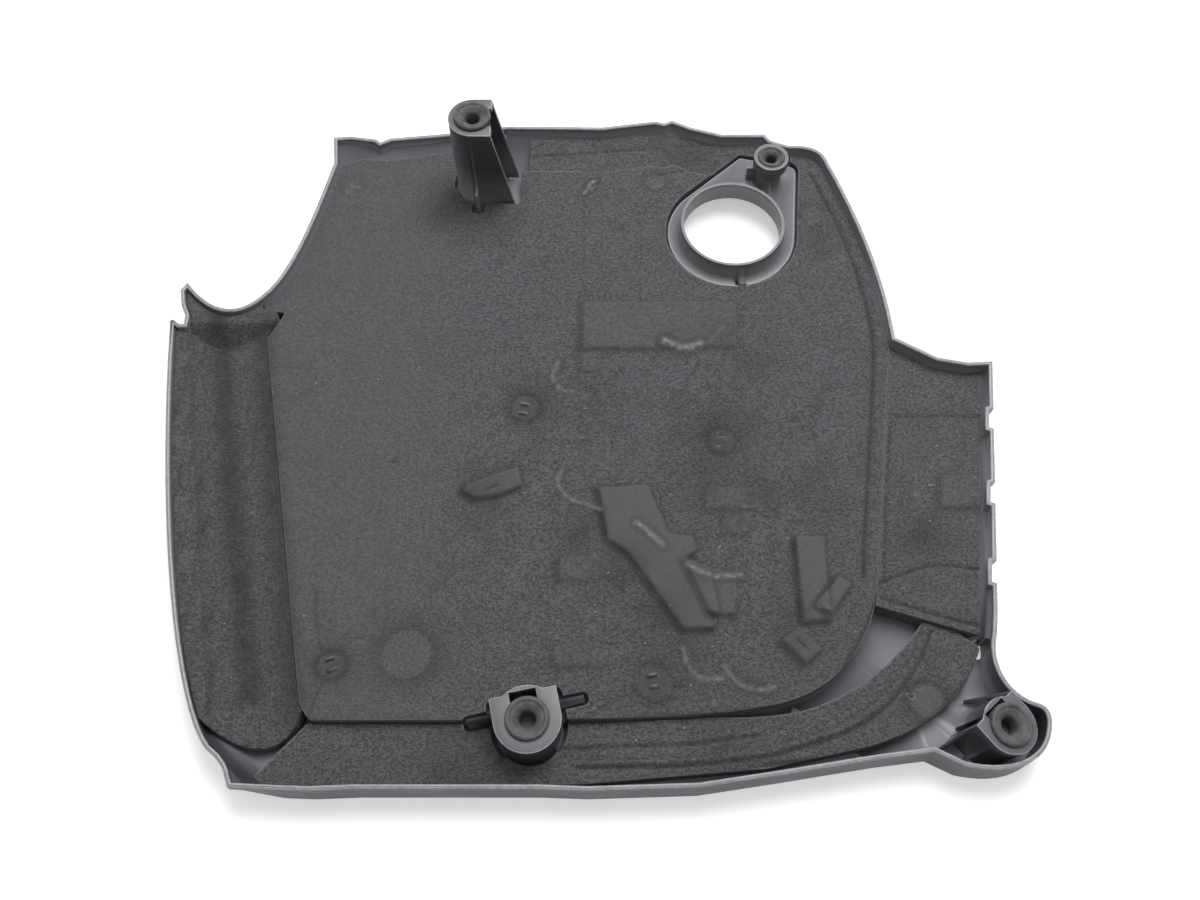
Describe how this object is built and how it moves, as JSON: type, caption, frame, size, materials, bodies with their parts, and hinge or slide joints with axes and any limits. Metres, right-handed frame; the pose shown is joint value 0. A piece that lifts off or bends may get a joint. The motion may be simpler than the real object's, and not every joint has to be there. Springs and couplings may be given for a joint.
{
  "type": "engine cover",
  "caption": "Moulded engine cover lying underside up, with foam mats, an oil filler opening and ball-stud rubber mounts on a tower, a boss, a holder and a corner lug.",
  "frame": {"origin": "middle of the cover's box, on the surface it lies on", "axes": "+Z out of the foam-lined underside, +Y from the front edge with the single holder to the back edge with the tower, +X to the side with the castellated rim"},
  "size_m": [0.565, 0.5, 0.0911],
  "materials": {
    "moulding": "fine-grained moulded dark grey plastic, rubbed lighter on its edges",
    "foam": "dark grey moulded foam with a felted skin, dusty brown in places",
    "rubber": "dull dark grey rubber with a lighter lip"
  },
  "bodies": {
    "root": {"shell": "moulding", "main_mat": "foam", "lower_mat": "foam", "side_mat": "foam", "trough_mat": "foam", "upper_mat": "foam", "tower_grommet": "rubber", "boss_grommet": "rubber", "front_grommet": "rubber", "corner_grommet": "rubber"}
  },
  "joints": []
}
